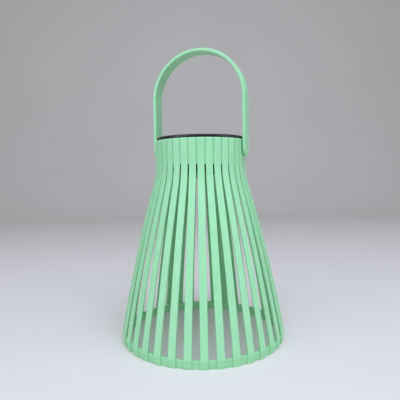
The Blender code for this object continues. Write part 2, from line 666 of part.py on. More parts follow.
def make_battery_cover(light, plastic, steel):
    """The battery cover with its lip and ear, and the screw that holds it."""
    bm = bmesh.new()
    top = HOUSING_BOTTOM - FIT
    bottom = top - COVER_THICKNESS
    half_x = BAY_HALF_LENGTH + COVER_MARGIN
    half_y = BAY_HALF_WIDTH + COVER_MARGIN
    add_box(bm, (-half_x, BATTERY_OFFSET - half_y, bottom), (half_x, BATTERY_OFFSET + half_y, top))
    upright = [edge for edge in bm.edges
               if abs(edge.verts[0].co.z - edge.verts[1].co.z) > COVER_THICKNESS / 2]
    bmesh.ops.bevel(bm, geom=upright, offset=COVER_CORNER, segments=3, profile=0.5,
                    affect="EDGES")
    cover = piece("battery_cover", bm, plastic, light)

    lip = bmesh.new()
    lip_x = BAY_HALF_LENGTH - FIT
    lip_y = BAY_HALF_WIDTH - FIT
    add_box(lip, (-lip_x, BATTERY_OFFSET - lip_y, top - COVER_THICKNESS / 2),
            (lip_x, BATTERY_OFFSET + lip_y, HOUSING_BOTTOM + COVER_LIP))
    shape_with(cover, "cover_lip", lip, "UNION")
    ear = bmesh.new()
    add_cylinder(ear, EAR_RADIUS, (EAR_X, EAR_Y), bottom, top, 20)
    shape_with(cover, "cover_ear", ear, "UNION")
    neck = bmesh.new()
    add_box(neck, (EAR_X - EAR_RADIUS, EAR_Y, bottom),
            (EAR_X + EAR_RADIUS, BATTERY_OFFSET - BAY_HALF_WIDTH, top))
    shape_with(cover, "cover_ear_neck", neck, "UNION")
    hole = bmesh.new()
    add_cylinder(hole, BORE_RADIUS, (EAR_X, EAR_Y), bottom - MM, top + MM, 10)
    shape_with(cover, "cover_hole", hole, "DIFFERENCE")

    bm = bmesh.new()
    screw(bm, (EAR_X, EAR_Y), bottom - FIT, EAR_BOSS_HEIGHT, 1)
    piece("cover_screw", bm, steel, light)


def make_screws(light, steel):
    """The three housing screws and the two board screws."""
    for number, place in enumerate(post_places(), 1):
        bm = bmesh.new()
        screw(bm, place, HOUSING_BOTTOM - FIT, SCREW_LENGTH, 1)
        piece(f"housing_screw_{number}", bm, steel, light)

    for number, x in enumerate((-BOARD_POST_X, BOARD_POST_X), 1):
        bm = bmesh.new()
        screw(bm, (x, BOARD_POST_Y), BOARD_TOP + FIT, EAR_BOSS_HEIGHT, -1)
        piece(f"board_screw_{number}", bm, steel, light)


def make_board(light, laminate, black, green, clear, metal):
    """The circuit board, its chip and inductor, and the lamp on its two leads."""
    bm = bmesh.new()
    add_box(bm, (-BOARD_LENGTH / 2, BOARD_Y - BOARD_WIDTH / 2, BOARD_BOTTOM),
            (BOARD_LENGTH / 2, BOARD_Y + BOARD_WIDTH / 2, BOARD_TOP))
    board = piece("circuit_board", bm, laminate, light)
    holes = bmesh.new()
    for x in (-BOARD_POST_X, BOARD_POST_X):
        add_cylinder(holes, BORE_RADIUS, (x, BOARD_POST_Y), BOARD_BOTTOM - MM, BOARD_TOP + MM, 10)
    shape_with(board, "board_holes", holes, "DIFFERENCE")

    seat = BOARD_TOP + FIT
    x, y = CHIP_PLACE
    half_x, half_y = CHIP_SIZE[0] / 2, CHIP_SIZE[1] / 2
    bm = bmesh.new()
    add_box(bm, (x - half_x, y - half_y, seat), (x + half_x, y + half_y, seat + CHIP_SIZE[2]))
    piece("control_chip", bm, black, light)

    x, y = INDUCTOR_PLACE
    bm = bmesh.new()
    add_cylinder_x(bm, INDUCTOR_RADIUS, x - INDUCTOR_LENGTH / 2, x + INDUCTOR_LENGTH / 2,
                   (y, seat + INDUCTOR_RADIUS), 12)
    piece("inductor", bm, green, light)

    dome = LED_TOP - LED_LENGTH + LED_RADIUS
    outline = [(0.0, LED_TOP), (LED_RIM_RADIUS, LED_TOP), (LED_RIM_RADIUS, LED_TOP - LED_RIM_HEIGHT),
               (LED_RADIUS, LED_TOP - LED_RIM_HEIGHT)]
    outline += arc_points(LED_RADIUS, dome, 5)
    bm = bmesh.new()
    add_turned(bm, outline, 20, closed=False)
    piece("led", bm, clear, light)

    half = LEAD_SIDE / 2
    for name, x in (("led_lead_anode", -LEAD_PITCH / 2), ("led_lead_cathode", LEAD_PITCH / 2)):
        bm = bmesh.new()
        add_box(bm, (x - half, -half, LED_TOP + FIT), (x + half, half, BOARD_BOTTOM - FIT))
        piece(name, bm, metal, light)


def arc_points(radius, height, steps):
    """Quarter circle from (radius, height) down to the axis."""
    angles = [math.pi / 2 * i / steps for i in range(steps + 1)]
    points = [(radius * math.cos(a), height - radius * math.sin(a)) for a in angles]
    points[-1] = (0.0, height - radius)
    return points


def make_diffuser(light, frosted):
    """The frosted cap over the lamp: a thin dome with a rim that holds it behind the floor."""
    dome = HOUSING_BOTTOM - DIFFUSER_TUBE
    inner = DIFFUSER_RADIUS - DIFFUSER_WALL
    rim_bottom = FLOOR_TOP + FIT
    rim_top = rim_bottom + DIFFUSER_RIM_HEIGHT
    rim = DIFFUSER_RADIUS + DIFFUSER_RIM
    outline = list(reversed(arc_points(DIFFUSER_RADIUS, dome, 6)))
    outline += [(DIFFUSER_RADIUS, rim_bottom), (rim, rim_bottom), (rim, rim_top), (inner, rim_top)]
    outline += arc_points(inner, dome, 6)
    bm = bmesh.new()
    add_turned(bm, outline, 24, closed=False)
    piece("diffuser", bm, frosted, light)


def make_switch(light, black, white):
    """The slide switch: its body, and the knob with its parent on the line it slides along."""
    size_x, size_y, size_z = (value / 2 for value in SWITCH_SIZE)
    bottom = FLOOR_TOP + FIT
    bm = bmesh.new()
    add_box(bm, (SWITCH_X - size_x, SWITCH_Y - size_y, bottom),
            (SWITCH_X + size_x, SWITCH_Y + size_y, bottom + 2 * size_z))
    body = piece("switch_body", bm, black, light)
    channel = bmesh.new()
    reach_x = (SWITCH_TRAVEL + KNOB_SIZE[0]) / 2 + RUN
    reach_y = KNOB_SIZE[1] / 2 + RUN
    add_box(channel, (SWITCH_X - reach_x, SWITCH_Y - reach_y, bottom - MM),
            (SWITCH_X + reach_x, SWITCH_Y + reach_y, bottom + KNOB_INSIDE + RUN))
    shape_with(body, "switch_channel", channel, "DIFFERENCE")

    half_x, half_y = KNOB_SIZE[0] / 2, KNOB_SIZE[1] / 2
    bm = bmesh.new()
    add_box(bm, (-half_x, -half_y, HOUSING_BOTTOM - KNOB_PROUD), (half_x, half_y, bottom + KNOB_INSIDE))
    piece("switch_knob", bm, white, light, (SWITCH_X - SWITCH_TRAVEL / 2, SWITCH_Y, 0.0))


def make_wires(light, red, black):
    """Four wires: two from the solar cell and two from the battery contacts to the board.

    Each route is a list of points in millimetres across, with heights from the pieces it joins.
    """
    board = BOARD_TOP + FIT
    cell = RECESS_FLOOR
    roof = BAY_CEILING + BAY_WALL
    for name, side, look in (("solar_wire_positive", 1, red), ("solar_wire_negative", -1, black)):
        route = ((2.0, -6.0, cell), (2.0, -6.0, cell - 3.0 * MM), (4.5, -4.0, (cell + board) / 2),
                 (4.0, -2.5, board + 2.0 * MM), (4.0, -2.5, board))
        tube(name, [(side * x * MM, y * MM, z) for x, y, z in route], WIRE_RADIUS, look, light)

    minus_x, plus_x = contact_places()
    for name, end, look in (("battery_wire_positive", plus_x, red),
                            ("battery_wire_negative", minus_x, black)):
        side = math.copysign(MM, end)
        route = ((end, BATTERY_OFFSET, BAY_CEILING), (end, BATTERY_OFFSET, roof + 1.2 * MM),
                 (end - 3.0 * side, BATTERY_OFFSET - 7.0 * MM, roof + 2.4 * MM),
                 (14.5 * side, 1.5 * MM, board + 2.5 * MM), (14.0 * side, 0.0, board))
        tube(name, route, WIRE_RADIUS, look, light)


def build():
    """Make every sub-part of the lantern."""
    clear_scene()
    mint = material("mint_plastic", "9FE0B4", 0.42)
    black = material("black_plastic", "17191C", 0.35)
    cell = material("solar_cell", "141B3C", 0.25)
    window = material("clear_window", "E8EEF0", 0.05, transmission=0.9)
    rubber = material("seal_rubber", "202020", 0.8)
    steel = material("plated_steel", "B8BABC", 0.3, metallic=1.0)
    sleeve = material("battery_sleeve", "3E8F4A", 0.4)
    laminate = material("board_laminate", "2F6B3C", 0.5)
    green = material("inductor_lacquer", "5FA36B", 0.4)
    clear = material("led_epoxy", "F2EBC8", 0.1, transmission=0.6)
    frosted = material("frosted_plastic", "E9EAE6", 0.5, transmission=0.4)
    white = material("knob_plastic", "D9DAD6", 0.5)
    red_wire = material("red_insulation", "A8241E", 0.45)
    black_wire = material("black_insulation", "1B1B1D", 0.45)

    make_cage(mint)
    make_handle(mint)
    light = link("solar_light_axis", None, None, (0.0, 0.0, SEAT_HEIGHT))
    make_lid(light, black)
    make_solar_top(light, cell, window, rubber)
    make_lower_housing(light, black)
    make_battery(light, sleeve, steel)
    make_battery_cover(light, black, steel)
    make_screws(light, steel)
    make_board(light, laminate, black, green, clear, steel)
    make_diffuser(light, frosted)
    make_switch(light, black, white)
    make_wires(light, red_wire, black_wire)


build()
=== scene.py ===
# %% [markdown]
# # A solar garden lantern
# The lantern is one mint-green moulding, a cage of 36 flat slats, with a strap handle on top. A
# black solar light drops into its neck and is turned to lock. This script puts the fine surface
# on a working model: soft edges, moulded grain, the solar cell, the screws and the parts inside.
#
# The working model is loaded first. It is the fixed frame: every new piece takes its place from
# it.

import json
import math

import bmesh
import bpy
from mathutils import Matrix, Vector


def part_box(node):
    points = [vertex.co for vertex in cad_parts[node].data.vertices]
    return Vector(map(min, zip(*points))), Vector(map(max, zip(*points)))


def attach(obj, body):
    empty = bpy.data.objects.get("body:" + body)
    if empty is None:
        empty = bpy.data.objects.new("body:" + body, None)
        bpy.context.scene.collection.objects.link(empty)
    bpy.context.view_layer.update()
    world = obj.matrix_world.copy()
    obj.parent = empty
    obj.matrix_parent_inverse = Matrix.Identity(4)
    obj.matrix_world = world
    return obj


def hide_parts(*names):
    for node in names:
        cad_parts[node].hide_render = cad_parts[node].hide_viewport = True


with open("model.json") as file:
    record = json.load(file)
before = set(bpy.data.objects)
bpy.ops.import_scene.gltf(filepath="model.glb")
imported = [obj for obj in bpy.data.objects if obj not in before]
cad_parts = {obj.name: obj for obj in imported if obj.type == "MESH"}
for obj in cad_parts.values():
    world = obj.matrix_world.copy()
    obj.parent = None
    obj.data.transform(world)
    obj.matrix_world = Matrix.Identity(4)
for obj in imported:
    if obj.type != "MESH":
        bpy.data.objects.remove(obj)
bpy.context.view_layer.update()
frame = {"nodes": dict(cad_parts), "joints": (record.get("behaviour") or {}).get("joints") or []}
nodes = frame["nodes"]
print("nodes in the frame:", len(nodes))

# %% [markdown]
# Blender's operators act on whatever is selected, so two small helpers do the work of the mouse.
# One makes a piece the only selected one. The other picks points, edges or faces in edit mode by
# a rule.

# %% Helpers for selecting
MM = 0.001
NEAR = 0.01 * MM


def solo(piece):
    """Make a piece the only selected one, and the active one."""
    bpy.ops.object.select_all(action="DESELECT")
    piece.select_set(True)
    bpy.context.view_layer.objects.active = piece


def edit(piece):
    """Open a piece in edit mode with all of it selected."""
    solo(piece)
    bpy.ops.object.mode_set(mode="EDIT")
    bpy.ops.mesh.select_all(action="SELECT")


def leave():
    """Go back to object mode."""
    bpy.ops.object.mode_set(mode="OBJECT")


def pick(piece, kind, rule):
    """Select the points, edges or faces for which the rule holds. It says how many there are."""
    bpy.context.tool_settings.mesh_select_mode = [kind == each for each in ("VERT", "EDGE", "FACE")]
    shape = bmesh.from_edit_mesh(piece.data)
    groups = {"VERT": shape.verts, "EDGE": shape.edges, "FACE": shape.faces}
    for group in groups.values():
        for part in group:
            part.select = False
    chosen = [part for part in groups[kind] if rule(part)]
    for part in chosen:
        part.select_set(True)
    shape.select_flush_mode()
    bmesh.update_edit_mesh(piece.data)
    return len(chosen)


def extrude(move):
    """Extrude what is selected and move it."""
    bpy.ops.mesh.extrude_region_move(TRANSFORM_OT_translate={"value": move})


def middle(edge):
    """Middle point of an edge."""
    return (edge.verts[0].co + edge.verts[1].co) / 2


def open_edges(piece):
    """How many edges of a piece don't join exactly two faces. A closed piece has none."""
    shape = bmesh.new()
    shape.from_mesh(piece.data)
    count = sum(len(edge.link_faces) != 2 for edge in shape.edges)
    shape.free()
    return count


bpy.ops.object.select_all(action="DESELECT")

# %% [markdown]
# Pieces end with their place in the mesh and their object at the origin. Smooth shading with a
# limit on the angle keeps real corners crisp, and weighted normals keep the flats between them
# flat.

# %% Helpers for starting and finishing a piece


def settle(piece):
    """Put a piece's place, turn and scale into its mesh."""
    solo(piece)
    bpy.ops.object.transform_apply(location=True, rotation=True, scale=True)
    return piece


def plate(name, size_x, size_y, place):
    """Start a piece from one flat rectangle."""
    bpy.ops.mesh.primitive_plane_add(size=1.0, location=place)
    piece = bpy.context.object
    piece.name = name
    piece.scale = (size_x, size_y, 1.0)
    return settle(piece)


def round_bar(name, radius, low, high, centre=(0.0, 0.0), sides=64):
    """Start a piece from one upright cylinder between two heights."""
    bpy.ops.mesh.primitive_cylinder_add(vertices=sides, radius=radius, depth=high - low,
                                        location=(centre[0], centre[1], (low + high) / 2))
    piece = bpy.context.object
    piece.name = name
    return settle(piece)


def block(name, low, high):
    """Start a piece from one block between two corners."""
    size = [b - a for a, b in zip(low, high)]
    place = [(a + b) / 2 for a, b in zip(low, high)]
    bpy.ops.mesh.primitive_cube_add(size=1.0, location=place)
    piece = bpy.context.object
    piece.name = name
    piece.scale = size
    return settle(piece)


def combine(piece, other, operation):
    """Join another solid to a piece, or cut it away, and delete the other."""
    solo(piece)
    step = piece.modifiers.new("combine", "BOOLEAN")
    step.operation = operation
    step.solver = "EXACT"
    step.object = other
    bpy.ops.object.modifier_apply(modifier=step.name)
    bpy.data.objects.remove(other)


def soften(piece, width, segments=2, angle=40.0):
    """Round every corner sharper than the angle."""
    solo(piece)
    step = piece.modifiers.new("soften", "BEVEL")
    step.width = width
    step.segments = segments
    step.limit_method = "ANGLE"
    step.angle_limit = math.radians(angle)
    step.use_clamp_overlap = True
    bpy.ops.object.modifier_apply(modifier=step.name)


def face_out(piece):
    """Turn every face of a closed piece outwards."""
    edit(piece)
    bpy.ops.mesh.normals_make_consistent(inside=False)
    leave()


CREASE = math.radians(35.0)
made = []


def finish(piece, body, slot, look, *replaced):
    """Shade a piece, give it its finish, hang it on its body's empty, and hide the CAD parts it
    stands for.
    """
    solo(piece)
    bpy.ops.object.shade_smooth_by_angle(angle=CREASE)
    step = piece.modifiers.new("flats", "WEIGHTED_NORMAL")
    step.keep_sharp = True
    bpy.ops.object.modifier_apply(modifier=step.name)
    piece.data.materials.clear()
    piece.data.materials.append(look)
    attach(piece, body)
    if replaced:
        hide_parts(*replaced)
    made.append(piece)
    print(piece.name, "faces:", len(piece.data.polygons), "open edges:", open_edges(piece))


# %% [markdown]
# ## Camera
# The lantern is looked at from a little above its middle, about 36 cm away, turned 19.6 degrees
# from the line that is square to the handle. The camera leans down by 3.4 degrees and is rolled
# by 0.9.

# %% Camera
VIEW_TURN = math.radians(19.63)
VIEW_DISTANCE = 360.4 * MM
VIEW_HEIGHT = 144.2 * MM
VIEW_DOWN = math.radians(3.438)
VIEW_ROLL = math.radians(-0.912)
VIEW_YAW = math.radians(-0.170)
SENSOR_WIDTH = 36.0
FOCAL_LENGTH = 35.97
NEAREST = 10.0 * MM

camera_data = bpy.data.cameras.new("camera")
camera_data.sensor_width = SENSOR_WIDTH
camera_data.lens = FOCAL_LENGTH
camera_data.clip_start = NEAREST
camera = bpy.data.objects.new("camera", camera_data)
bpy.context.scene.collection.objects.link(camera)
camera.matrix_world = (Matrix.Rotation(VIEW_TURN, 4, "Z")
                       @ Matrix.Translation((0.0, -VIEW_DISTANCE, VIEW_HEIGHT))
                       @ Matrix.Rotation(-VIEW_YAW, 4, "Z")
                       @ Matrix.Rotation(math.pi / 2 - VIEW_DOWN, 4, "X")
                       @ Matrix.Rotation(VIEW_ROLL, 4, "Z"))
bpy.context.scene.camera = camera
print("camera at", [round(value, 4) for value in camera.matrix_world.translation])

# %% [markdown]
# ## Floor and light
# The floor sweeps up behind the lantern, as a roll of paper does in a studio, so that no line
# shows where the floor ends. It is a flat plate with one side drawn up and the bend rounded.

# %% Floor
FLOOR_HALF = 1.6
SWEEP_HEIGHT = 2.2
SWEEP_RADIUS = 0.6
SWEEP_STEPS = 24

floor = plate("studio_floor", 2 * FLOOR_HALF, 2 * FLOOR_HALF, (0.0, 0.0, 0.0))
edit(floor)
pick(floor, "EDGE", lambda edge: middle(edge).y > FLOOR_HALF - MM)
extrude((0.0, 0.0, SWEEP_HEIGHT))
pick(floor, "EDGE", lambda edge: middle(edge).y > FLOOR_HALF - MM and abs(middle(edge).z) < MM)
bpy.ops.mesh.bevel(offset=SWEEP_RADIUS, segments=SWEEP_STEPS)
leave()
floor.data.transform(Matrix.Rotation(VIEW_TURN, 4, "Z"))
solo(floor)
bpy.ops.object.shade_smooth()

# %% [markdown]
# A large soft light above and in front stands for an overcast sky, and two weaker ones open up
# the sides. Each looks at the middle of the lantern. All three have the slight blue of such a
# sky.

# %% Light
SKY_BLUE = (0.9, 0.94, 1.2)
AIR_COLOUR = (0.9, 0.94, 1.0, 1.0)
AIR_STRENGTH = 0.3
LANTERN_MIDDLE = Vector((0.0, 0.0, 0.12))


def soft_light(name, place, size, power):
    """Add a square light, with its size in metres and its power in watts."""
    data = bpy.data.lights.new(name, "AREA")
    data.shape = "SQUARE"
    data.size = size
    data.energy = power
    data.color = SKY_BLUE
    light = bpy.data.objects.new(name, data)
    bpy.context.scene.collection.objects.link(light)
    place = Matrix.Rotation(VIEW_TURN, 4, "Z") @ Vector(place)
    light.location = place
    light.rotation_euler = (LANTERN_MIDDLE - place).to_track_quat("-Z", "Y").to_euler()
    print(name, "of", power, "watts")


soft_light("sky_light", (0.1, -0.55, 1.15), size=1.1, power=15.0)
soft_light("right_light", (1.1, -0.5, 0.45), size=0.8, power=2.8)
soft_light("left_light", (-1.0, -0.8, 0.4), size=0.9, power=4.6)

world = bpy.data.worlds.new("studio_air")
bpy.context.scene.world = world
world.use_nodes = True
air = world.node_tree.nodes["Background"]
air.inputs["Color"].default_value = AIR_COLOUR
air.inputs["Strength"].default_value = AIR_STRENGTH
bpy.context.scene.view_settings.view_transform = "Standard"

# %% [markdown]
# ## Finishes
# Each finish starts from the real material. Colours are written as hex values, as a paint chart
# gives them, and turned to the linear numbers that the renderer uses. One helper adds a node.

# %% Helpers for finishes


def linear(hex_colour):
    """Turn a hex colour into linear RGBA."""
    channels = [int(hex_colour[i:i + 2], 16) / 255 for i in (1, 3, 5)]
    return tuple(c / 12.92 if c <= 0.04045 else ((c + 0.055) / 1.055) ** 2.4
                 for c in channels) + (1.0,)


def add(tree, kind, inputs=None, **settings):
    """Add a node, set its properties, and fill or link its sockets."""
    new = tree.nodes.new(kind)
    for name, value in settings.items():
        setattr(new, name, value)
    for socket, value in (inputs or {}).items():
        if isinstance(value, bpy.types.NodeSocket):
            tree.links.new(value, new.inputs[socket])
        else:
            new.inputs[socket].default_value = value
    return new


def new_finish(name, **sockets):
    """Start a finish: a material, its node tree, its shader and the object's own coordinates."""
    look = bpy.data.materials.new(name)
    look.use_nodes = True
    tree = look.node_tree
    shader = tree.nodes["Principled BSDF"]
    for socket, value in sockets.items():
        shader.inputs[socket.replace("_", " ")].default_value = value
    place = add(tree, "ShaderNodeTexCoord").outputs["Object"]
    return look, tree, shader, place


def two_tones(tree, factor, first, second, low=0.3, high=0.7):
    """Blend two colours by a pattern, between two of its values."""
    ramp = add(tree, "ShaderNodeValToRGB", {"Fac": factor})
    ramp.color_ramp.elements[0].position = low
    ramp.color_ramp.elements[0].color = linear(first)
    ramp.color_ramp.elements[1].position = high
    ramp.color_ramp.elements[1].color = linear(second)
    return ramp.outputs["Color"]


def per_metre(size_mm):
    """Scale that makes a pattern repeat about once in a length in millimetres."""
    return 1000.0 / size_mm


FLOW_MM = 14.0
RUB_MM = 6.0


def moulded(name, light, dark, grain_mm, relief, roughness, **sockets):
    """A moulded plastic: faint flow clouds in the colour, fine grain, and uneven polish."""
    look, tree, shader, place = new_finish(name, **sockets)
    flow = add(tree, "ShaderNodeTexNoise",
               {"Vector": place, "Scale": per_metre(FLOW_MM), "Detail": 3.0})
    tree.links.new(two_tones(tree, flow.outputs["Fac"], dark, light), shader.inputs["Base Color"])
    grain = add(tree, "ShaderNodeTexNoise",
                {"Vector": place, "Scale": per_metre(grain_mm), "Detail": 4.0, "Roughness": 0.6})
    bump = add(tree, "ShaderNodeBump", {"Height": grain.outputs["Fac"], "Strength": relief,
                                        "Distance": grain_mm * 0.1 * MM})
    tree.links.new(bump.outputs["Normal"], shader.inputs["Normal"])
    rub = add(tree, "ShaderNodeTexNoise",
              {"Vector": place, "Scale": per_metre(RUB_MM), "Detail": 5.0})
    polish = add(tree, "ShaderNodeMapRange", {"Value": rub.outputs["Fac"], "From Min": 0.3,
                                              "From Max": 0.7, "To Min": roughness - 0.05,
                                              "To Max": roughness + 0.07})
    tree.links.new(polish.outputs["Result"], shader.inputs["Roughness"])
    return look


# %% [markdown]
# The cage and the handle are polypropylene, coloured through, moulded in a tool with a fine matt
# grain. Light goes a little way into it, which deepens the green where the plastic is lit from
# behind.

# %% Mint polypropylene
mint = moulded("moulded_polypropylene_mint", "#9EDEA8", "#9ADAA4", 0.5, 0.25, 0.38,
               Subsurface_Weight=0.25, Subsurface_Radius=(0.5 * MM, 2.0 * MM, 0.45 * MM),
               Subsurface_Scale=1.0, IOR=1.49)

# %% [markdown]
# The light unit is ABS, black and polished a little more than the cage, so that it shows the sky
# along its rim. The tool left a finer grain.

# %% Black ABS
black = moulded("moulded_abs_black", "#15181D", "#0E1013", 0.4, 0.15, 0.3, IOR=1.53)

# %% [markdown]
# The window is clear acrylic, with haze and fine marks from wiping.

# %% Clear acrylic
acrylic, tree, shader, place = new_finish("polished_acrylic_clear", Transmission_Weight=1.0,
                                          IOR=1.49)
haze = add(tree, "ShaderNodeTexNoise", {"Vector": place, "Scale": per_metre(9.0), "Detail": 6.0})
wipe = add(tree, "ShaderNodeMapRange",
           {"Value": haze.outputs["Fac"], "To Min": 0.02, "To Max": 0.09})
tree.links.new(wipe.outputs["Result"], shader.inputs["Roughness"])
tree.links.new(two_tones(tree, haze.outputs["Fac"], "#F4F8F8", "#FDFFFF"),
               shader.inputs["Base Color"])
marks = add(tree, "ShaderNodeTexNoise", {"Vector": place, "Scale": per_metre(1.2), "Detail": 3.0})
bump = add(tree, "ShaderNodeBump", {"Height": marks.outputs["Fac"], "Strength": 0.03,
                                    "Distance": 0.05 * MM})
tree.links.new(bump.outputs["Normal"], shader.inputs["Normal"])

# %% [markdown]
# The cell is polycrystalline silicon: large crystals, each a slightly different blue because it
# catches the light differently, under printed silver lines. The thin lines carry the current to
# two wider ones. They are about 0.1 mm wide on a real cell and drawn at 0.2 mm so that they
# show.

# %% Polycrystalline silicon
FINGER_PITCH = 2.0
FINGER_SHARE = 0.10
BUSBAR_PLACE = 10.5 * MM
BUSBAR_HALF = 0.6 * MM

silicon, tree, shader, place = new_finish("polycrystalline_silicon_blue", Roughness=0.28,
                                          Coat_Weight=0.5, Coat_Roughness=0.08)
crystals = add(tree, "ShaderNodeTexVoronoi", {"Vector": place, "Scale": per_metre(4.5)})
shade = add(tree, "ShaderNodeRGBToBW", {"Color": crystals.outputs["Color"]})
wafer = two_tones(tree, shade.outputs["Val"], "#0B1636", "#1E3A70", 0.15, 0.85)
axes = add(tree, "ShaderNodeSeparateXYZ", {"Vector": place})
step = add(tree, "ShaderNodeMath", {0: axes.outputs["X"], 1: per_metre(FINGER_PITCH)},
           operation="MULTIPLY")
turn = add(tree, "ShaderNodeMath", {0: step.outputs["Value"]}, operation="FRACT")
finger = add(tree, "ShaderNodeMath", {0: turn.outputs["Value"], 1: FINGER_SHARE},
             operation="LESS_THAN")
side = add(tree, "ShaderNodeMath", {0: axes.outputs["Y"]}, operation="ABSOLUTE")
busbar = add(tree, "ShaderNodeMath", {0: side.outputs["Value"], 1: BUSBAR_PLACE, 2: BUSBAR_HALF},
             operation="COMPARE")
lines = add(tree, "ShaderNodeMath", {0: finger.outputs["Value"], 1: busbar.outputs["Value"]},
            operation="MAXIMUM")
printed = add(tree, "ShaderNodeMix", {0: lines.outputs["Value"], 6: wafer, 7: linear("#A9B2BC")},
              data_type="RGBA")
tree.links.new(printed.outputs[2], shader.inputs["Base Color"])
raised = add(tree, "ShaderNodeBump", {"Height": lines.outputs["Value"], "Strength": 0.4,
                                      "Distance": 0.02 * MM})
tree.links.new(raised.outputs["Normal"], shader.inputs["Normal"])

# %% [markdown]
# Seals are black silicone, duller than the plastic. The battery has a shrunk vinyl sleeve,
# smooth and glossy. Wire insulation is soft vinyl. The chip is moulded epoxy, and the inductor
# has been dipped in lacquer. The switch has a knob of grey acetal.

# %% The other plastics
rubber = moulded("moulded_silicone_black", "#1C1C1D", "#141415", 0.6, 0.2, 0.6)
sleeve = moulded("shrunk_vinyl_sleeve_green", "#2F8C4A", "#277A3F", 1.5, 0.1, 0.25)
chip_epoxy = moulded("moulded_epoxy_chip", "#232427", "#1A1B1D", 0.3, 0.35, 0.55)
lacquer = moulded("dipped_lacquer_green", "#2C7F77", "#246B64", 2.0, 0.25, 0.22)
knob_plastic = moulded("moulded_acetal_grey", "#C9CCCB", "#BFC2C1", 0.4, 0.15, 0.4)
red_wire = moulded("vinyl_insulation_red", "#B3201C", "#9E1915", 0.9, 0.12, 0.35)
black_wire = moulded("vinyl_insulation_black", "#1A1A1B", "#121213", 0.9, 0.12, 0.35)

# %% [markdown]
# The lamp's cap is polypropylene without colour, frosted inside, and the lamp is clear epoxy
# with a milky tint. Both let light through, so their shader scatters it.

# %% Frosted cap and lamp
frosted = moulded("moulded_polypropylene_frosted", "#F1F4F2", "#E6EBE8", 0.4, 0.2, 0.5,
                  Transmission_Weight=0.35, Subsurface_Weight=0.3,
                  Subsurface_Radius=(2.0 * MM, 2.0 * MM, 2.0 * MM), Subsurface_Scale=1.0, IOR=1.49)
lamp_epoxy = moulded("cast_epoxy_lamp", "#F7EFC9", "#F0E6B8", 1.0, 0.05, 0.12,
                     Transmission_Weight=0.75, IOR=1.55)

# %% [markdown]
# Screws, springs and contacts are steel with a thin bright plating. Rolling and tumbling leave
# it with fine streaks and small dull spots.

# %% Plated steel
steel, tree, shader, place = new_finish("nickel_plated_steel", Metallic=1.0)
spots = add(tree, "ShaderNodeTexNoise", {"Vector": place, "Scale": per_metre(1.4), "Detail": 5.0})
tree.links.new(two_tones(tree, spots.outputs["Fac"], "#A7A59F", "#C9C8C4"),
               shader.inputs["Base Color"])
dull = add(tree, "ShaderNodeMapRange",
           {"Value": spots.outputs["Fac"], "To Min": 0.18, "To Max": 0.42})
tree.links.new(dull.outputs["Result"], shader.inputs["Roughness"])
streaks = add(tree, "ShaderNodeTexNoise", {"Vector": place, "Scale": per_metre(0.5), "Detail": 4.0})
bump = add(tree, "ShaderNodeBump", {"Height": streaks.outputs["Fac"], "Strength": 0.1,
                                    "Distance": 0.02 * MM})
tree.links.new(bump.outputs["Normal"], shader.inputs["Normal"])

# %% [markdown]
# The circuit board is glass cloth in epoxy under green solder mask. The weave shows faintly
# through it, and copper tracks stand a little proud under the mask. The tracks run square to
# each other, so a coarse grid of bricks with gaps gives their rhythm.

# %% Circuit board
TRACK_BRICKS_PER_METRE = 220.0

laminate, tree, shader, place = new_finish("glass_epoxy_board_green", Coat_Weight=0.4,
                                           Coat_Roughness=0.15)
weave = add(tree, "ShaderNodeTexChecker", {"Vector": place, "Scale": per_metre(0.6)})
tracks = add(tree, "ShaderNodeTexBrick", {"Vector": place, "Scale": TRACK_BRICKS_PER_METRE,
                                          "Mortar Size": 0.06, "Color1": (0.0, 0.0, 0.0, 1.0),
                                          "Color2": (0.0, 0.0, 0.0, 1.0),
                                          "Mortar": (1.0, 1.0, 1.0, 1.0)})
mask = two_tones(tree, tracks.outputs["Color"], "#0F4A2B", "#1F7A47", 0.0, 1.0)
woven = add(tree, "ShaderNodeMix", {0: 0.08, 6: mask, 7: weave.outputs["Color"]}, data_type="RGBA",
            blend_type="OVERLAY")
tree.links.new(woven.outputs[2], shader.inputs["Base Color"])
raised = add(tree, "ShaderNodeBump", {"Height": tracks.outputs["Color"], "Strength": 0.5,
                                      "Distance": 0.04 * MM})
tree.links.new(raised.outputs["Normal"], shader.inputs["Normal"])
cloud = add(tree, "ShaderNodeTexNoise", {"Vector": place, "Scale": per_metre(3.0)})
gloss = add(tree, "ShaderNodeMapRange",
            {"Value": cloud.outputs["Fac"], "To Min": 0.3, "To Max": 0.5})
tree.links.new(gloss.outputs["Result"], shader.inputs["Roughness"])

# %% [markdown]
# The floor is smooth warm paper: nearly one tone, with the faintest cloudiness, about a third of
# a metre across.

# %% Paper floor
paper, tree, shader, place = new_finish("matt_paper_pale", Roughness=0.85)
pulp = add(tree, "ShaderNodeTexNoise", {"Vector": place, "Scale": 3.0, "Detail": 3.0})
tree.links.new(two_tones(tree, pulp.outputs["Fac"], "#D9D6CC", "#DCD9CF"),
               shader.inputs["Base Color"])
floor.data.materials.append(paper)

# %% [markdown]
# ## The cage
# The real cage is one moulding: 36 slats, a closed band round the neck and a ring at the foot.
# One slat with its share of the band and the ring is modelled here, ten degrees wide in all, and
# copied round. Its sides are open where the next one joins, so that the copies weld to one
# solid.
#
# A slat is a strip of even thickness that follows two curves: a long swelling one up from the
# ring, and a tight hollow one into the neck. The section is a rectangle with rounded corners,
# and Blender's spin turns it about the centre of each curve.

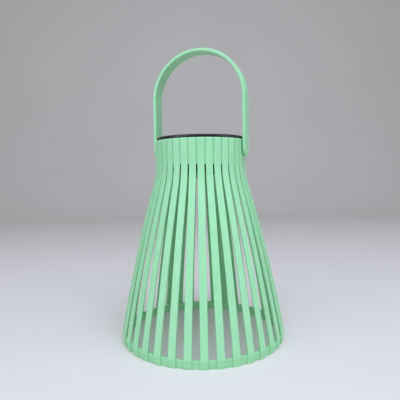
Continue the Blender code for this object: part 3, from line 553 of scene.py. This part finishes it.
# %% Sizes of the cage
SLAT_COUNT = 36
PITCH = 2 * math.pi / SLAT_COUNT
SLAT_THICKNESS = 1.5 * MM
SLAT_CORNER = 0.35 * MM
FOOT_WIDTH = 6.1 * MM
NECK_WALL = 2.4 * MM
GROOVE_WIDTH = 1.25 * MM
GROOVE_DEPTH = 0.8 * MM
WAIST_DEPTH = 18.3 * MM
BAND_HEIGHT = 21.5 * MM
SHOULDER_RADIUS = 75.0 * MM
FLARE = math.radians(16.2)
RING_HEIGHT = 7.0 * MM
RING_STEP = 1.1 * MM
RING_WALL = 2.2 * MM


def reach(node, low, high):
    """How far a CAD node goes along X between two heights."""
    return max(v.co.x for v in nodes[node].data.vertices
               if low - MM / 2 <= v.co.z <= high + MM / 2)


cage_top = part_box("cage")[1].z
waist_height = cage_top - WAIST_DEPTH
slot_top = cage_top - BAND_HEIGHT
foot_radius = reach("cage", 0.0, 0.0)
widest_radius = reach("cage", RING_HEIGHT, RING_HEIGHT)
neck_radius = reach("cage", cage_top, cage_top)
waist_radius = reach("cage", waist_height, waist_height)
waist_width = waist_radius * PITCH - GROOVE_WIDTH
slat_width = FOOT_WIDTH + (waist_width - FOOT_WIDTH) * RING_HEIGHT / waist_height
print("slat width in mm: waist", round(waist_width / MM, 2), "ring", round(slat_width / MM, 2))

# %% [markdown]
# The swelling curve starts where the hollow one ends, in the same direction, and has to arrive
# at the ring's top, where the cage is widest. That fixes its centre and radius. Below it the
# slats turn in.

# %% Centre of the long curve
shoulder_height = waist_height - SHOULDER_RADIUS * math.sin(FLARE)
shoulder_radius = waist_radius + SHOULDER_RADIUS * (1 - math.cos(FLARE))
widening = widest_radius - shoulder_radius
fall = shoulder_height - RING_HEIGHT
belly_turn = FLARE - math.atan2(widening, fall)
belly_radius = math.hypot(widening, fall) / (2 * math.sin(belly_turn))
belly_x = shoulder_radius - belly_radius * math.cos(FLARE)
belly_z = shoulder_height - belly_radius * math.sin(FLARE)
ring_lean = math.asin((RING_HEIGHT - belly_z) / belly_radius)
turn_in = (widest_radius - foot_radius) / RING_HEIGHT
print("long curve: radius in mm", round(belly_radius / MM, 1), "lean at the ring in degrees",
      round(math.degrees(ring_lean), 2))

# %% [markdown]
# The section starts level with the curve's centre, is turned up to the ring's top, and is spun
# up from there. Its lower end is drawn down and inward for the foot, and the bend between is
# rounded a little. A taper then narrows the slat towards the waist.
#
# The slat is made too long at both ends and cut square later, after it is joined to the band and
# the ring, so that all three share one clean cut.

# %% One slat
BEND_ROUND = 0.8 * MM
BELLY_STEPS = 28
SHOULDER_STEPS = 14

bay = plate("cage_bay", SLAT_THICKNESS, FOOT_WIDTH,
            (belly_x + belly_radius - SLAT_THICKNESS / 2, 0.0, belly_z))
edit(bay)
bpy.ops.mesh.bevel(offset=SLAT_CORNER, segments=3, affect="VERTICES")
bpy.ops.mesh.select_all(action="SELECT")
bpy.ops.transform.rotate(value=ring_lean, orient_axis="Y", orient_type="GLOBAL",
                         center_override=(belly_x, 0.0, belly_z))
bpy.ops.mesh.spin(steps=BELLY_STEPS, angle=FLARE - ring_lean, center=(belly_x, 0.0, belly_z),
                  axis=(0.0, 1.0, 0.0))
bpy.ops.mesh.spin(steps=SHOULDER_STEPS, angle=FLARE,
                  center=(waist_radius + SHOULDER_RADIUS, 0.0, waist_height), axis=(0.0, -1.0, 0.0))
neck_rise = WAIST_DEPTH + MM
neck_lean = (neck_radius - waist_radius) * neck_rise / WAIST_DEPTH
extrude((neck_lean, 0.0, neck_rise))


def at_bend(part):
    """True for the lowest face of the slat and for the edges round it."""
    return all(abs(v.co.z - RING_HEIGHT) < 0.5 * MM for v in part.verts)


pick(bay, "FACE", at_bend)
foot_drop = RING_HEIGHT + MM
extrude((-turn_in * foot_drop, 0.0, -foot_drop))
pick(bay, "EDGE", at_bend)
bpy.ops.mesh.bevel(offset=BEND_ROUND, segments=3)
leave()
taper = bay.modifiers.new("taper", "SIMPLE_DEFORM")
taper.deform_method = "TAPER"
taper.deform_axis = "Z"
taper.lock_x = True
slat_low = min(v.co.z for v in bay.data.vertices)
slat_high = max(v.co.z for v in bay.data.vertices)
slat_length = slat_high - slat_low
taper.limits = (-slat_low / slat_length, (waist_height - slat_low) / slat_length)
taper.factor = waist_width / FOOT_WIDTH - 1
bpy.ops.object.modifier_apply(modifier=taper.name)
face_out(bay)
print("slat runs from", round(min(v.co.z for v in bay.data.vertices) / MM, 2), "to",
      round(max(v.co.z for v in bay.data.vertices) / MM, 2), "mm")

# %% [markdown]
# The band and the ring are arcs. Each is a four-cornered section, spun about the lantern's axis
# a little further than one slat's share, because the overhang is cut off again. In the corners
# where the slat stands on the ring, a small web with a hollow face gives the fillet that every
# moulding has.

# %% Band and ring


def arc(name, corners, angle, steps=8):
    """A ring segment: a section given by four corners (radius, height), spun about the axis."""
    piece = plate(name, 1.0, 1.0, (0.0, 0.0, 0.0))
    for point, (radius, height) in zip(piece.data.vertices, (corners[0], corners[1], corners[3],
                                                             corners[2])):
        point.co = (radius, 0.0, height)
    edit(piece)
    bpy.ops.mesh.spin(steps=steps, angle=angle, center=(0.0, 0.0, 0.0), axis=(0.0, 0.0, 1.0))
    leave()
    spun = max(v.co.y for v in piece.data.vertices) > MM
    piece.data.transform(Matrix.Rotation(-angle / 2 if spun else angle / 2, 4, "Z"))
    face_out(piece)
    return piece


OVERHANG = 1.2
FILLET = 0.9 * MM
FILLET_STEPS = 5
FILLET_HOLLOW = 0.04

share = PITCH * OVERHANG
ring_low = -MM
ring_face = widest_radius - RING_STEP
foot_face = foot_radius - RING_STEP + turn_in * ring_low
ring = arc("ring", ((foot_face - RING_WALL, ring_low), (foot_face, ring_low),
                    (ring_face, RING_HEIGHT), (ring_face - RING_WALL, RING_HEIGHT)), share)
band_high = cage_top + MM
band_face = waist_radius - GROOVE_DEPTH
band_bore = waist_radius - NECK_WALL
band = arc("band", ((band_bore, slot_top), (band_face, slot_top),
                    (band_face + neck_radius - waist_radius, band_high),
                    (band_bore, band_high)), share)
combine(bay, ring, "UNION")
combine(bay, band, "UNION")
for side in (1.0, -1.0):
    web = plate("web", RING_WALL, 2 * FILLET,
                (ring_face - RING_WALL / 2, side * (slat_width / 2 - FILLET / 2),
                 RING_HEIGHT - FILLET))
    edit(web)
    extrude((0.0, 0.0, 2 * FILLET))
    pick(web, "EDGE", lambda e: middle(e).z > RING_HEIGHT and side * middle(e).y > slat_width / 2
         and abs(e.verts[0].co.x - e.verts[1].co.x) > MM)
    bpy.ops.mesh.bevel(offset=FILLET, segments=FILLET_STEPS, profile=FILLET_HOLLOW)
    leave()
    face_out(web)
    combine(bay, web, "UNION")
print("joined bay: open edges", open_edges(bay))

# %% [markdown]
# Now the slat, the band and the ring are cut together: flat below, flat on top, and with a small
# chamfer round the outside of the top. Each cut closes the hole that it makes.

# %% Square ends
TOP_CHAMFER = 0.7 * MM
CUT_TOLERANCE = 1e-7


def cut(point, normal, **choices):
    """Cut all of the open piece through a point, square to a direction."""
    bpy.ops.mesh.select_all(action="SELECT")
    bpy.ops.mesh.bisect(plane_co=point, plane_no=normal, threshold=CUT_TOLERANCE, **choices)


edit(bay)
cut((0.0, 0.0, 0.0), (0.0, 0.0, 1.0), clear_inner=True, use_fill=True)
cut((0.0, 0.0, cage_top), (0.0, 0.0, 1.0), clear_outer=True, use_fill=True)
cut((neck_radius - TOP_CHAMFER, 0.0, cage_top), (1.0, 0.0, 1.0), clear_outer=True, use_fill=True)
leave()
print("cut bay: open edges", open_edges(bay))

# %% [markdown]
# Moulded edges are never sharp. The edges of the ring and of the foot get a rounding, which
# catches a line of light between the slats. The overhang goes last: two cuts through the axis,
# half a pitch each way.

# %% Soft edges, then the cuts
RIM_ROUND = 0.4 * MM


def bends_out(edge):
    """True where two faces meet in an outside corner."""
    return len(edge.link_faces) == 2 and edge.calc_face_angle_signed() > math.radians(50)


def level(edge, height):
    """True where both ends of an edge are at a height."""
    return all(abs(v.co.z - height) < 0.02 * MM for v in edge.verts)


edit(bay)
rims = pick(bay, "EDGE", lambda e: bends_out(e) and level(e, 0.0))
bpy.ops.mesh.bevel(offset=RIM_ROUND, segments=2)
lips = pick(bay, "EDGE", lambda e: bends_out(e) and level(e, RING_HEIGHT)
            and abs(middle(e).y) > slat_width / 2 + FILLET * 0.9)
bpy.ops.mesh.bevel(offset=RIM_ROUND, segments=2)
print("rim edges:", rims, "ring edges:", lips)
for side in (1.0, -1.0):
    cut((0.0, 0.0, 0.0), (-math.sin(PITCH / 2), side * math.cos(PITCH / 2), 0.0), clear_outer=True)
leave()
print("bay: faces", len(bay.data.polygons), "edges left open for its neighbours:", open_edges(bay))

# %% [markdown]
# Thirty-five more copies close the circle, and points that meet are welded.

# %% All the way round
WELD = 0.002 * MM

bays = [bay]
for k in range(1, SLAT_COUNT):
    copy = bpy.data.objects.new(f"cage_bay_{k}", bay.data.copy())
    bpy.context.scene.collection.objects.link(copy)
    copy.data.transform(Matrix.Rotation(k * PITCH, 4, "Z"))
    bays.append(copy)
solo(bay)
for copy in bays:
    copy.select_set(True)
bpy.ops.object.join()
cage = bay
cage.name = "slatted_cage"
edit(cage)
bpy.ops.mesh.remove_doubles(threshold=WELD)
bpy.ops.mesh.normals_make_consistent(inside=False)
leave()
print("cage: open edges", open_edges(cage))

# %% [markdown]
# Inside the neck is the ledge of the twist lock, in three arcs with notches between them where
# the light's lugs drop through. Two holes take the handle's pins.

# %% Lock ledge and pin holes
LUG_COUNT = 3
LUG_ANGLE = math.radians(16.0)
NOTCH = LUG_ANGLE + math.radians(4.0)
LOCK_TURN = math.radians(30.0)
LEDGE_DEPTH = 1.5 * MM
LEDGE_HEIGHT = 2.0 * MM
LEDGE_DROP = 17.0 * MM
LEDGE_ROOT = 0.5 * MM
LEDGE_STEPS = 24
PIN_RADIUS = 2.3 * MM
PIN_CLEARANCE = 0.15 * MM
PIN_SIDES = 32
HOLE_REACH = 60.0 * MM

pivot = Vector(next(j["pos_m"] for j in frame["joints"] if j["name"] == "handle_swing"))
ledge_arc = 2 * math.pi / LUG_COUNT - NOTCH
ledge_edge, ledge_root = band_bore - LEDGE_DEPTH, band_bore + LEDGE_ROOT
ledge_top = cage_top - LEDGE_DROP
ledge_low = ledge_top - LEDGE_HEIGHT
for k in range(LUG_COUNT):
    ledge = arc("ledge", ((ledge_edge, ledge_low), (ledge_root, ledge_low), (ledge_root, ledge_top),
                          (ledge_edge, ledge_top)), ledge_arc, LEDGE_STEPS)
    start = 2 * math.pi * k / LUG_COUNT + LOCK_TURN + NOTCH / 2
    ledge.data.transform(Matrix.Rotation(start + ledge_arc / 2, 4, "Z"))
    combine(cage, ledge, "UNION")
hole = round_bar("pin_hole", PIN_RADIUS + PIN_CLEARANCE, -HOLE_REACH, HOLE_REACH, sides=PIN_SIDES)
hole.data.transform(Matrix.Translation(pivot) @ Matrix.Rotation(math.pi / 2, 4, "Y"))
combine(cage, hole, "DIFFERENCE")
finish(cage, "cage_body", "mint_plastic", mint, "cage")

# %% [markdown]
# ## The handle
# The handle is a flat strap with rounded edges, moulded as an arch: a half circle on two
# straight legs, with rounded ends and a pin inside each. The strap's section is spun through
# half a turn.

# %% Handle
STRAP_THICKNESS = 2.7 * MM
STRAP_EDGE = 0.6 * MM
ARCH_STEPS = 56
END_STEPS = 9
END_SWEEP = math.radians(84.0)

handle_low, handle_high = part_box("handle")
strap_width = handle_high.y - handle_low.y
strap_radius = handle_high.x - STRAP_THICKNESS / 2
arch_height = handle_high.z - handle_high.x

handle = plate("strap_handle", STRAP_THICKNESS, strap_width, (strap_radius, 0.0, arch_height))
edit(handle)
bpy.ops.mesh.bevel(offset=STRAP_EDGE, segments=4, affect="VERTICES")
bpy.ops.mesh.select_all(action="SELECT")
bpy.ops.mesh.spin(steps=ARCH_STEPS, angle=math.pi, center=(0.0, 0.0, arch_height),
                  axis=(0.0, 1.0, 0.0))
leave()
print("arch from", round(min(v.co.z for v in handle.data.vertices) / MM, 1), "to",
      round(max(v.co.z for v in handle.data.vertices) / MM, 1), "mm")

# %% [markdown]
# The legs are drawn down from the arch's two ends. Each end is then drawn on in short steps, and
# each step is made narrower, so that the strap ends in a half circle.

# %% Legs with rounded ends
for side in (1.0, -1.0):
    edit(handle)
    pick(handle, "FACE", lambda f: abs(f.calc_center_median().z - arch_height) < NEAR
         and f.calc_center_median().x * side > 0 and abs(f.normal.z) > 0.9)
    extrude((0.0, 0.0, pivot.z - arch_height))
    width = 1.0
    height = 0.0
    for k in range(1, END_STEPS + 1):
        angle = END_SWEEP * k / END_STEPS
        drop = math.sin(angle) * strap_width / 2 - height
        height += drop
        extrude((0.0, 0.0, -drop))
        narrow = math.cos(angle) / width
        width = math.cos(angle)
        bpy.ops.transform.resize(value=(1.0, narrow, 1.0),
                                 center_override=(side * strap_radius, 0.0, 0.0))
    leave()
face_out(handle)
print("handle: open edges", open_edges(handle))

# %% [markdown]
# The pins are short round studs with a tapered nose, so that the legs can be sprung apart and
# snapped into the holes.

# %% Handle pins
NOSE = 0.5 * MM

pin_end = min(abs(v.co.x) for v in nodes["handle"].data.vertices
              if abs(v.co.z - pivot.z) < PIN_RADIUS * 1.1)
print("pins reach in to", round(pin_end / MM, 2), "mm from the axis")

for side in (1.0, -1.0):
    pin = round_bar("pin", PIN_RADIUS, pin_end, strap_radius, sides=PIN_SIDES)
    edit(pin)
    pick(pin, "EDGE", lambda e: level(e, pin_end))
    bpy.ops.mesh.bevel(offset=NOSE, segments=3)
    leave()
    pin.data.transform(Matrix.Translation(pivot) @ Matrix.Rotation(side * math.pi / 2, 4, "Y"))
    combine(handle, pin, "UNION")
finish(handle, "handle_body", "mint_plastic", mint, "handle")

# %% [markdown]
# ## The lid
# The lid is the only part of the light that shows when it is in place. It is turned in shape: a
# rim that rests on the slats, a well for the window, and a skirt below. It is made from a
# cylinder, with the well inset and pushed down and the edge of the rim rounded.

# %% Lid
ROUND_SIDES = 128
FIT = 0.3 * MM
RIM_EDGE = 0.6 * MM
SEAT_EDGE = 0.3 * MM
FINE_EDGE = 0.2 * MM
HOUSING_WALL = 1.8 * MM
LID_PLATE = 1.4 * MM

seat = Vector(next(j["pos_m"] for j in frame["joints"] if j["name"] == "light_twist")).z
lid_low, lid_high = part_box("lid")
window_low, window_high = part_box("solar_window")
seal_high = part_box("lid_seal")[1]
well_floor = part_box("solar_cell")[0].z - FIT
lid_under = well_floor - LID_PLATE
rim_radius = lid_high.x
well_radius = window_high.x + FIT
skirt_radius = seal_high.x + FIT


def sink(piece, height, up, inset, depth):
    """Inset the flat end of a turned piece and push the middle along Z."""
    pick(piece, "FACE", lambda f: f.normal.z * up > 0.9
         and abs(f.calc_center_median().z - height) < NEAR
         and f.calc_center_median().xy.length < 0.1 * MM)
    bpy.ops.mesh.inset(thickness=inset, depth=0.0)
    extrude((0.0, 0.0, depth))


def ring_edges(piece, radius, height, width, segments=3):
    """Round the circle of edges at a radius and a height of a turned piece."""
    count = pick(piece, "EDGE", lambda e: level(e, height)
                 and all(abs(v.co.xy.length - radius) < 0.05 * MM for v in e.verts))
    bpy.ops.mesh.bevel(offset=width, segments=segments)
    return count


lid = round_bar("solar_lid", rim_radius, seat, lid_high.z, sides=ROUND_SIDES)
edit(lid)
sink(lid, lid_high.z, 1.0, rim_radius - well_radius, well_floor - lid_high.z)
sink(lid, seat, -1.0, rim_radius - skirt_radius, seal_high.z + FIT - seat)
sink(lid, seal_high.z + FIT, -1.0, HOUSING_WALL, lid_under - seal_high.z - FIT)
rounded = [ring_edges(lid, rim_radius, lid_high.z, RIM_EDGE),
           ring_edges(lid, rim_radius, seat, SEAT_EDGE),
           ring_edges(lid, well_radius, lid_high.z, FINE_EDGE),
           ring_edges(lid, skirt_radius, seal_high.z + FIT, FINE_EDGE)]
leave()
face_out(lid)
print("lid: rounded edges", rounded, "open edges", open_edges(lid))

# %% [markdown]
# Under the lid stand three posts that take the screws, and a slot lets the cell's wires through.

# %% Posts, bores and wire slot
POST_RADIUS = 3.0 * MM
POST_SIDES = 40
BORE_RADIUS = 1.2 * MM
BORE_SIDES = 32
HOUSING_SCREWS = ("housing_screw_1", "housing_screw_2", "housing_screw_3")
WIRE_SLOT = ((-4.0 * MM, -8.0 * MM), (4.0 * MM, -4.0 * MM))

for name in HOUSING_SCREWS:
    low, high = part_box(name)
    place = ((low.x + high.x) / 2, (low.y + high.y) / 2)
    post = round_bar("post", POST_RADIUS, lid_low.z, lid_under + LID_PLATE / 2, place,
                     POST_SIDES)
    combine(lid, post, "UNION")
    bore = round_bar("bore", BORE_RADIUS, lid_low.z - MM, high.z + FIT, place, BORE_SIDES)
    combine(lid, bore, "DIFFERENCE")
slot = block("wire_slot", (*WIRE_SLOT[0], lid_under - MM), (*WIRE_SLOT[1], well_floor + MM))
combine(lid, slot, "DIFFERENCE")
finish(lid, "light_unit", "black_plastic", black, "lid")

# %% [markdown]
# The window is a polished disc that drops into the well. Its edge is broken all round, as a cut
# and flamed acrylic disc has it.

# %% Window
WINDOW_EDGE_TOP = 0.25 * MM
WINDOW_EDGE_LOW = 0.15 * MM

window = round_bar("window_disc", window_high.x, window_low.z, window_high.z, sides=ROUND_SIDES)
edit(window)
ring_edges(window, window_high.x, window_high.z, WINDOW_EDGE_TOP)
ring_edges(window, window_high.x, window_low.z, WINDOW_EDGE_LOW)
leave()
finish(window, "light_unit", "clear_window", acrylic, "solar_window")

# %% [markdown]
# All six screws are pan-head screws with a cross recess. They come in two lengths, so one helper
# makes each in the length that it needs: the shank is extruded from the inset underside of the
# head, its point is drawn in, the edge of the head is rounded, and a cross is cut into it. It stands
# on its head, the way the housing's screws sit, and is turned over for the board.

# %% One screw
HEAD_RADIUS = 2.5 * MM
HEAD_HEIGHT = 1.5 * MM
HEAD_EDGE = 0.8 * MM
SHANK_RADIUS = 0.7 * MM
POINT = 1.5 * MM
POINT_SHARE = 0.1
HEAD_SIDES = 48
CROSS = ((1.5 * MM, 0.28 * MM), (0.28 * MM, 1.5 * MM))
CROSS_DEPTH = 0.9 * MM


def pan_screw(name, length):
    """A screw on its head at the origin: the head's underside is at its height, the shank above."""
    screw = round_bar(name, HEAD_RADIUS, 0.0, HEAD_HEIGHT, sides=HEAD_SIDES)
    edit(screw)
    ring_edges(screw, HEAD_RADIUS, 0.0, HEAD_EDGE, segments=5)
    sink(screw, HEAD_HEIGHT, 1.0, HEAD_RADIUS - SHANK_RADIUS, length - POINT)
    extrude((0.0, 0.0, POINT))
    bpy.ops.transform.resize(value=(POINT_SHARE, POINT_SHARE, 1.0),
                             center_override=(0.0, 0.0, HEAD_HEIGHT + length))
    leave()
    face_out(screw)
    for half_x, half_y in CROSS:
        arm = block("arm", (-half_x, -half_y, -MM), (half_x, half_y, CROSS_DEPTH))
        combine(screw, arm, "DIFFERENCE")
    soften(screw, 0.06 * MM, segments=1, angle=60.0)
    return screw


def drive(node, body, head_down):
    """Put a screw in a CAD screw's place."""
    low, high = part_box(node)
    screw = pan_screw(f"{node}_pan_head", high.z - low.z - HEAD_HEIGHT)
    flip = Matrix.Identity(4) if head_down else Matrix.Rotation(math.pi, 4, "X")
    foot = low.z if head_down else high.z
    spot = Matrix.Translation(((low.x + high.x) / 2, (low.y + high.y) / 2, foot))
    screw.data.transform(spot @ flip)
    finish(screw, body, "plated_steel", steel, node)


for name in HOUSING_SCREWS:
    drive(name, "light_unit", True)
for name in ("board_screw_1", "board_screw_2"):
    drive(name, "light_unit", False)
drive("cover_screw", "cover_body", True)

# %% [markdown]
# The rest of the light's larger pieces come from the working model. A copy is welded, its flats
# are made whole again, and its corners are rounded, which is what the moulding tool would do.

# %% Softened copies
FLAT = math.radians(1.0)


def softened(node, name, width):
    """Copy a CAD node, weld it, and round its corners."""
    piece = bpy.data.objects.new(name, nodes[node].data.copy())
    bpy.context.scene.collection.objects.link(piece)
    edit(piece)
    bpy.ops.mesh.remove_doubles(threshold=WELD)
    bpy.ops.mesh.dissolve_limited(angle_limit=FLAT)
    leave()
    soften(piece, width)
    return piece


finish(softened("lower_housing", "housing_cup", 0.2 * MM), "light_unit", "black_plastic", black,
       "lower_housing")
finish(softened("diffuser", "lamp_cap", 0.2 * MM), "light_unit", "frosted_plastic", frosted,
       "diffuser")
finish(softened("battery_cover", "bay_cover", 0.25 * MM), "cover_body", "black_plastic", black,
       "battery_cover")

# %% [markdown]
# What stays as the working model has it gets its finish here.

# %% Finishes for the carried pieces
carried = {
    "solar_cell": silicon, "lid_seal": rubber, "battery": sleeve, "battery_spring": steel,
    "battery_contact_minus": steel, "battery_contact_plus": steel, "led_lead_anode": steel,
    "led_lead_cathode": steel,
    "circuit_board": laminate, "control_chip": chip_epoxy, "inductor": lacquer, "led": lamp_epoxy,
    "switch_body": steel, "switch_knob": knob_plastic, "solar_wire_positive": red_wire,
    "battery_wire_positive": red_wire, "solar_wire_negative": black_wire,
    "battery_wire_negative": black_wire,
}
for name, look in carried.items():
    for slot in nodes[name].material_slots:
        slot.material = look

# %% [markdown]
# ## Last count
# The number of pieces that this script made is printed.

# %% Count the pieces
print("pieces made:", len(made))
